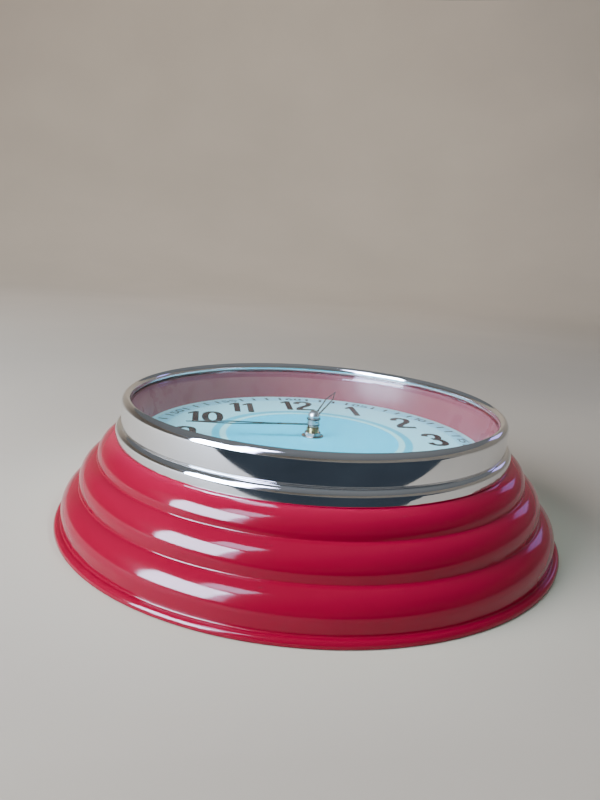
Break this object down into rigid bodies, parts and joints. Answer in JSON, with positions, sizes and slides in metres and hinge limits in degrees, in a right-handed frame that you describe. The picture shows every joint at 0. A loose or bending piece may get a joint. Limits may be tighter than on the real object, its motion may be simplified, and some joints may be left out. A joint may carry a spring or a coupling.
{
  "type": "wall clock",
  "caption": "Round analogue wall clock with a stepped moulded case, bright bezel, flat glass, printed dial and a quartz movement with turning hands.",
  "frame": {"origin": "centre of the case, on the plane of the back rim", "axes": "+Z out of the dial, +Y towards 12 o'clock, +X towards 3 o'clock; the clock lies on its back"},
  "size_m": [0.3048, 0.3048, 0.0748],
  "materials": {
    "red_plastic": "glossy moulded plastic",
    "chrome": "mirror chrome plating",
    "glass": "flat clear glass",
    "vinyl": "soft clear vinyl",
    "dial_print": "satin printed paint",
    "steel": "zinc plated",
    "black_plastic": "fine textured",
    "brass": "turned brass",
    "rubber": "matt",
    "nickel": "nickel plated",
    "battery_jacket": "plain printed sleeve",
    "board": "solder resist",
    "stator_iron": "stamped iron",
    "white_plastic": "natural acetal",
    "copper": "enamelled wire",
    "magnet": "sintered",
    "hand_black": "satin paint"
  },
  "bodies": {
    "case": {"case_shell": "red_plastic", "bezel": "chrome", "lens": "glass", "lens_gasket": "vinyl", "dial_ring": "red_plastic", "dial_plate": "dial_print", "bezel_screws": "steel", "hanger_plate": "steel", "hanger_screws": "steel", "movement_case": "black_plastic", "movement_cover": "black_plastic", "train_bridge": "black_plastic", "threaded_bush": "brass", "rubber_washer": "rubber", "clamp_washer": "nickel", "clamp_nut": "nickel", "battery": "battery_jacket", "positive_contact": "nickel", "negative_contact": "nickel", "circuit_board": "board", "quartz_crystal": "nickel", "stator": "stator_iron", "coil_bobbin": "white_plastic", "coil_winding": "copper"},
    "rotor": {"rotor": "magnet"},
    "intermediate_wheel": {"intermediate_wheel": "white_plastic"},
    "seconds_wheel": {"seconds_wheel": "white_plastic"},
    "third_wheel": {"third_wheel": "white_plastic"},
    "centre_wheel": {"centre_wheel": "white_plastic"},
    "minute_arbor": {"minute_arbor": "brass", "clutch_spring": "steel", "minute_hand": "hand_black", "hand_cap": "chrome"},
    "motion_wheel": {"motion_wheel": "white_plastic"},
    "hour_wheel": {"hour_wheel": "white_plastic", "hour_hand": "hand_black"},
    "setting_knob": {"setting_knob": "black_plastic"}
  },
  "joints": [
    {"name": "minute_spin", "type": "hinge", "parent": "case", "child": "minute_arbor", "pos_m": [0, 0, 0.05], "axis": [0, 0, -1], "continuous": true},
    {"name": "hour_spin", "type": "hinge", "parent": "case", "child": "hour_wheel", "pos_m": [0, 0, 0.0575], "axis": [0, 0, -1], "continuous": true},
    {"name": "motion_spin", "type": "hinge", "parent": "case", "child": "motion_wheel", "pos_m": [0.0042, 0.00728, 0.0412], "axis": [0, 0, -1], "continuous": true},
    {"name": "knob_spin", "type": "hinge", "parent": "case", "child": "setting_knob", "pos_m": [0.0084, 0.01455, 0.0268], "axis": [0, 0, -1], "continuous": true},
    {"name": "rotor_spin", "type": "hinge", "parent": "case", "child": "rotor", "pos_m": [0.01336, 0, 0.0333], "axis": [0, 0, -1], "continuous": true},
    {"name": "intermediate_spin", "type": "hinge", "parent": "case", "child": "intermediate_wheel", "pos_m": [0.0072, 0, 0.0357], "axis": [0, 0, -1], "continuous": true},
    {"name": "seconds_spin", "type": "hinge", "parent": "case", "child": "seconds_wheel", "pos_m": [0, 0, 0.0371], "axis": [0, 0, -1], "continuous": true},
    {"name": "third_spin", "type": "hinge", "parent": "case", "child": "third_wheel", "pos_m": [-0.0108, 0, 0.0385], "axis": [0, 0, -1], "continuous": true},
    {"name": "centre_spin", "type": "hinge", "parent": "case", "child": "centre_wheel", "pos_m": [0, 0, 0.0399], "axis": [0, 0, -1], "continuous": true}
  ],
  "couplings": [
    {"joint": "hour_spin", "follows": "minute_spin", "ratio": 0.083333},
    {"joint": "motion_spin", "follows": "minute_spin", "ratio": -0.33333},
    {"joint": "knob_spin", "follows": "minute_spin", "ratio": 1},
    {"joint": "intermediate_spin", "follows": "rotor_spin", "ratio": -0.16667},
    {"joint": "seconds_spin", "follows": "rotor_spin", "ratio": 0.033333},
    {"joint": "third_spin", "follows": "rotor_spin", "ratio": -0.0044444},
    {"joint": "centre_spin", "follows": "rotor_spin", "ratio": 0.00055556}
  ]
}
